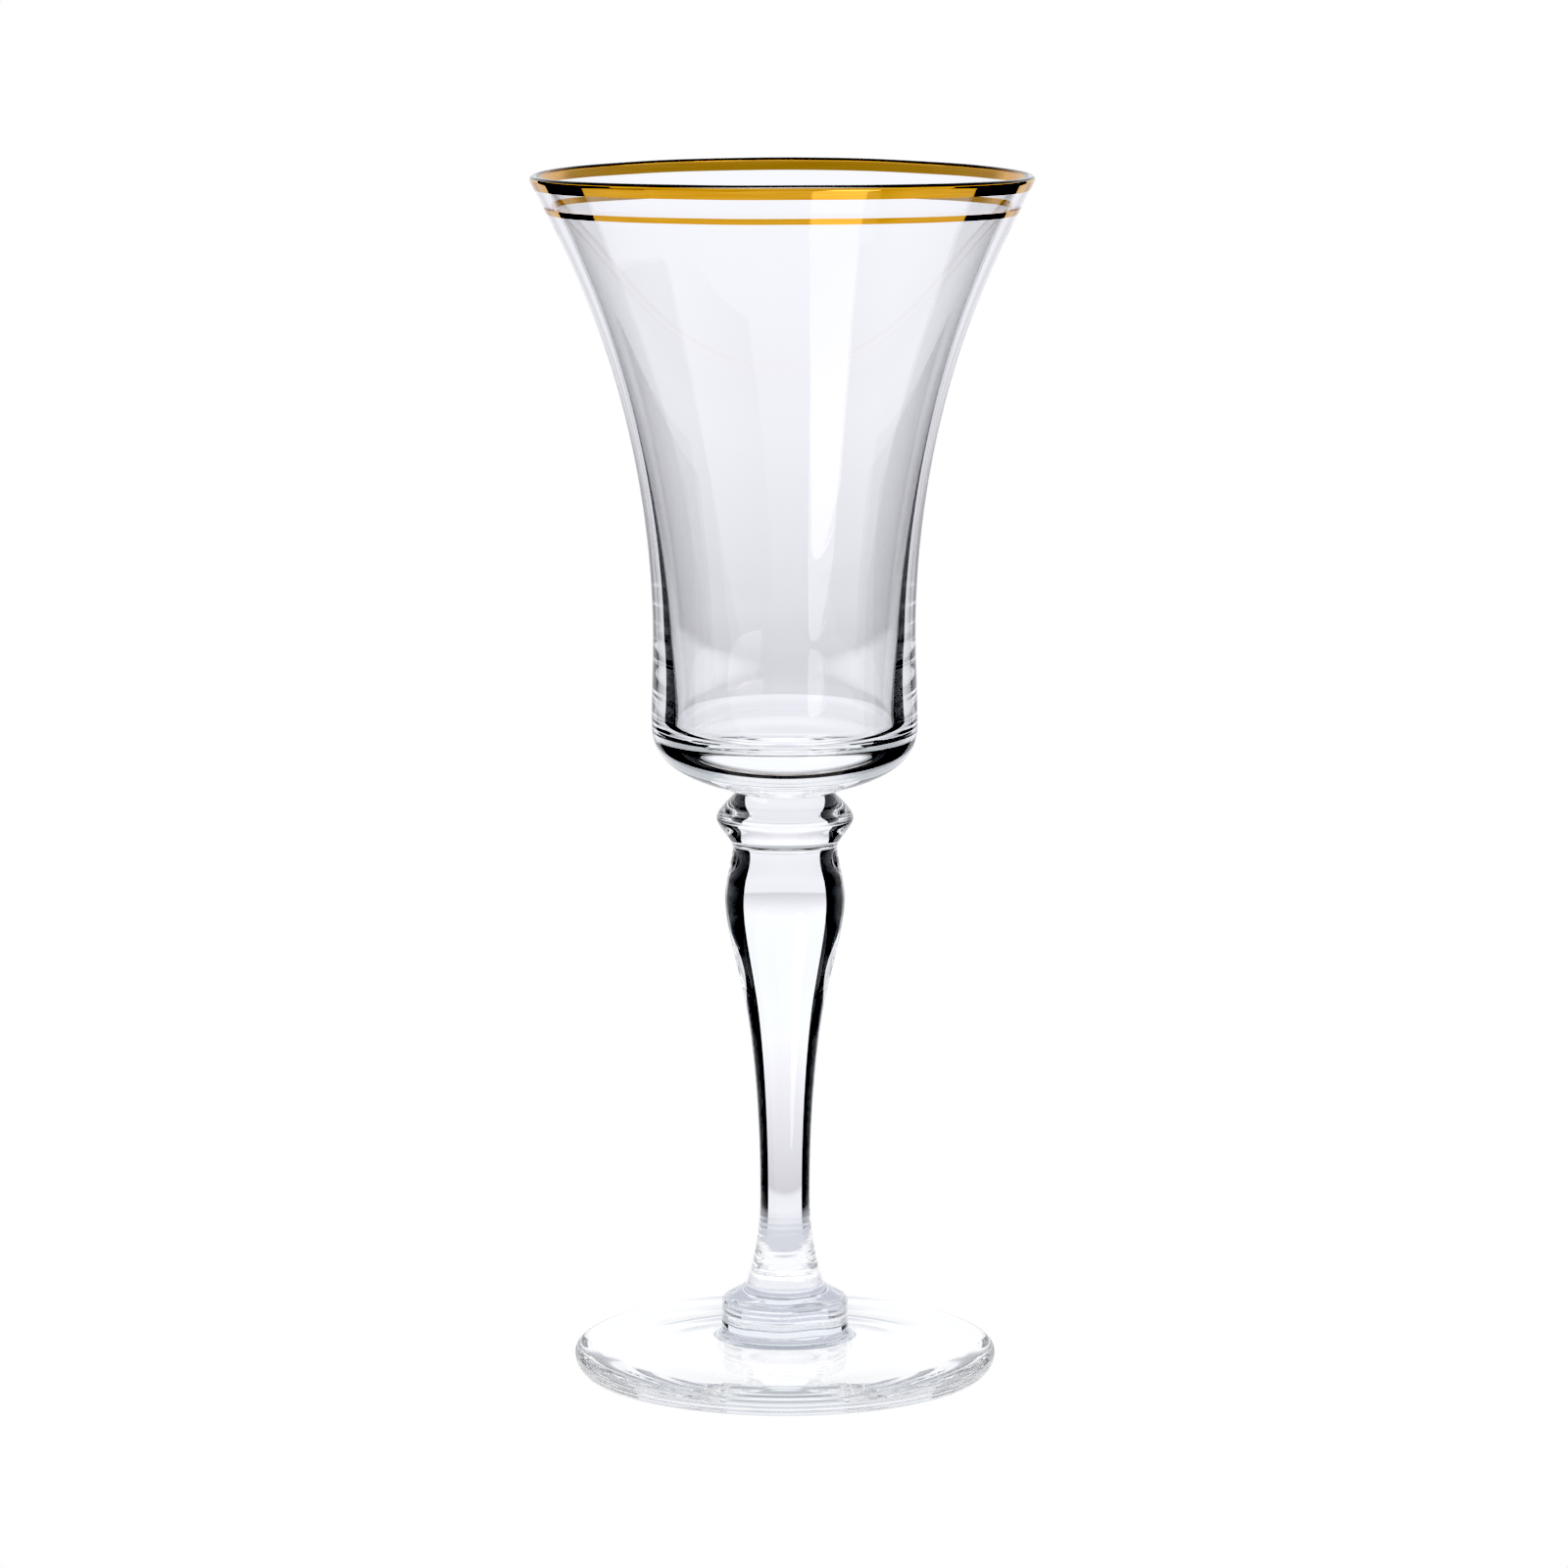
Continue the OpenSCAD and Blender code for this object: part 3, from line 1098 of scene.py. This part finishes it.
@dataclass
class Studio:
    """Camera, floor, surroundings and the cards that draw the glass's edges, in metres.

    The surround is the shade of the room at each rise in degrees. Its level edges bow, because
    the sideways part of a direction counts for less than the rest.
    """

    distance: float = 1.0349
    height: float = 0.2569
    pitch: float = 8.71
    lens: float = 146.07
    sensor: float = 36.0
    aside: float = -0.00016
    black: float = 0.06
    floor_side: float = 6.0
    floor_gap: float = 0.0002
    flag_radius: float = 2.8
    left_widening: float = 5
    widened_below: float = -25
    bow: float = 0.8
    brightness: float = 1.06
    surround: tuple[tuple[float, str], ...] = (
        (-90, "#F6F7FA"),
        (-45, "#F6F7FA"),
        (-33, "#E6E7EC"),
        (-26, "#E6E7EC"),
        (-18, "#EEEFF4"),
        (-13.2, "#EAEBF0"),
        (-12.9, "#CDCDD2"),
        (-12, "#D3D3D8"),
        (-10, "#DDDDE2"),
        (-8, "#E6E6EB"),
        (-6, "#EFEFF4"),
        (-3, "#F9FAFE"),
        (0, "#F9FDFF"),
        (18, "#F6F8FB"),
        (24, "#C0C3C7"),
        (58, "#B4BABE"),
        (64, "#EEF0F4"),
        (90, "#F4F6FA"),
    )

    def cards(self) -> list[Card]:
        """The black flags on both sides, the strip of light in front and the panels beside it.

        The strip is brightest at its upper end, and the grey wall stands far out on the left.

        Returns:
            The cards, not yet built.
        """
        right = (
            (-60, 120, 147),
            (-36, 115, 147),
            (-30, 112, 147),
            (-24, 100, 147),
            (-20, 84, 147),
            (9, 84, 147),
        )
        wider = [self.left_widening if row[0] < self.widened_below else 0 for row in right]
        left = tuple((rise, -near - more, -far) for (rise, near, far), more in zip(right, wider))
        low = ((-64, 16.5, 50.5), (-52, 18.5, 50.6), (-49, 19.1, 50.5))
        high = (
            (-49, 19.1, 50.5),
            (-40, 20.3, 49.9),
            (-34, 21.1, 49.2),
            (-29, 21.8, 48.3),
            (-24, 22.6, 47.1),
            (-21, 23.1, 44.5),
            (-19.5, 23.3, 41),
            (-18.5, 23.8, 36.7),
            (-17.8, 26, 32),
        )
        wall = (
            (-42, -77.5, -80),
            (-35, -74, -102),
            (-28.6, -68, -118),
            (-23, -60, -118),
            (-17, -52, -118),
            (-8, -36, -118),
        )
        left_panel = (
            (-46, -25, -78),
            (-42, -23.5, -77.5),
            (-35, -18.5, -74),
            (-28.6, -14.3, -68),
            (-17, -9.8, -52),
            (-10, -8, -39),
        )
        right_panel = ((-49, 50.5, 75), (-35, 49.5, 75), (-24, 47.1, 75), (-17.8, 32, 75))
        return [
            Card("flag_right", right, radius=self.flag_radius),
            Card("flag_left", left, radius=self.flag_radius),
            Card("strip_light_low", low, ((1.5, 1.5), (1.5, 1.5))),
            Card("strip_light_high", high, ((1.6, 1.6), (3.2, 3.2))),
            Card("grey_wall", wall, ((0.3, 0.5), (0.4, 0.6))),
            Card("left_panel", left_panel, ((0.5, 1.05), (0.8, 1.0))),
            Card("right_panel", right_panel, ((0.7, 1.0), (0.7, 0.9))),
        ]

    def camera(self) -> bpy.types.Object:
        """The camera, a little above the lip and looking down on the foot.

        Returns:
            The camera, made the scene's own.
        """
        data = bpy.data.cameras.new("camera")
        data.lens = self.lens
        data.sensor_width = self.sensor
        data.clip_end = 50.0
        camera = bpy.data.objects.new("camera", data)
        camera.location = (self.aside, -self.distance, self.height)
        camera.rotation_euler = (math.radians(90 - self.pitch), 0, 0)
        bpy.context.scene.collection.objects.link(camera)
        bpy.context.scene.camera = camera
        return camera

    def floor(self) -> None:
        """A pale floor, an even white sheet that the glass stands on, with painted light and painted shade
        that only light from the glass sees.
        """
        mesh = bpy.data.meshes.new("pale_floor")
        side = self.floor_side
        corners = [(-side, -side, 0), (side, -side, 0), (side, side, 0), (-side, side, 0)]
        mesh.from_pydata(corners, [], [(0, 1, 2, 3)])
        mesh.materials.append(WhiteSheet().build())
        floor = bpy.data.objects.new("pale_floor", mesh)
        bpy.context.scene.collection.objects.link(floor)
        floor.location.z = -self.floor_gap

    def air(self) -> None:
        """White behind the glass, and in it the shades of a studio by their height."""
        world = bpy.data.worlds.new("studio")
        world.use_nodes = True
        tree = world.node_tree
        tree.nodes.clear()
        way = add(tree, "ShaderNodeTexCoord").outputs["Generated"]
        shares = (self.bow, 1, 1)
        bowed = add(tree, "ShaderNodeVectorMath", {"operation": "MULTIPLY"}, i0=way, i1=shares)
        unit = add(tree, "ShaderNodeVectorMath", {"operation": "NORMALIZE"}, i0=bowed.outputs[0])
        rise = add(tree, "ShaderNodeSeparateXYZ", Vector=unit.outputs[0]).outputs["Z"]
        place = add(tree, "ShaderNodeMapRange", Value=rise, From_Min=-1.0, From_Max=1.0).outputs["Result"]
        stops = [((1 + math.sin(math.radians(angle))) / 2, colour) for angle, colour in self.surround]
        shade = add(
            tree, "ShaderNodeBackground", Color=ramp(tree, place, stops), Strength=self.brightness
        )
        white = add(tree, "ShaderNodeBackground", Color=linear(WHITE), Strength=1.0)
        seen = add(tree, "ShaderNodeLightPath").outputs["Is Camera Ray"]
        both = add(tree, "ShaderNodeMixShader", i0=seen, i1=shade.outputs[0], i2=white.outputs[0])
        add(tree, "ShaderNodeOutputWorld", Surface=both.outputs[0])
        bpy.context.scene.world = world

    def picture(self) -> None:
        """Plain tones with deep blacks, and enough bounces for light inside thick glass."""
        scene = bpy.context.scene
        scene.view_settings.view_transform = "Standard"
        scene.view_settings.use_curve_mapping = True
        scene.view_settings.curve_mapping.black_level = (self.black,) * 3
        scene.view_settings.curve_mapping.update()
        scene.cycles.max_bounces = 32
        scene.cycles.transmission_bounces = 32
        scene.cycles.glossy_bounces = 16
        scene.cycles.transparent_max_bounces = 64

    def build(self) -> None:
        """Sets the studio up, with the cards carried by the camera's stand."""
        camera = self.camera()
        bpy.context.view_layer.update()
        for card in self.cards():
            piece = card.build()
            piece.parent = camera
            piece.matrix_parent_inverse = camera.matrix_world.inverted()
        self.floor()
        self.air()
        self.picture()


def main() -> None:
    """Builds the glass from the foot up, then its gilding, then the studio."""
    logging.basicConfig(level=logging.INFO, format="%(name)s: %(message)s")
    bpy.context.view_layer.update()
    finishes = Finishes(
        polished=PolishedCrystal().build(),
        joint=FusedJoint().build(),
        gold=FiredGold().build(),
        # The collar's grey tint is painted shade, not a colour of the glass.
        painted_shade_glass=PolishedCrystal(name="painted_shade_crystal", tint="#E4E6ED").build(),
    )
    bowl = Bowl()
    for part in (Foot(), Collar(), Stem(), Knop(), bowl, Gilding(bowl)):
        part.build(finishes)
    Studio().build()


if __name__ == "__main__":
    main()
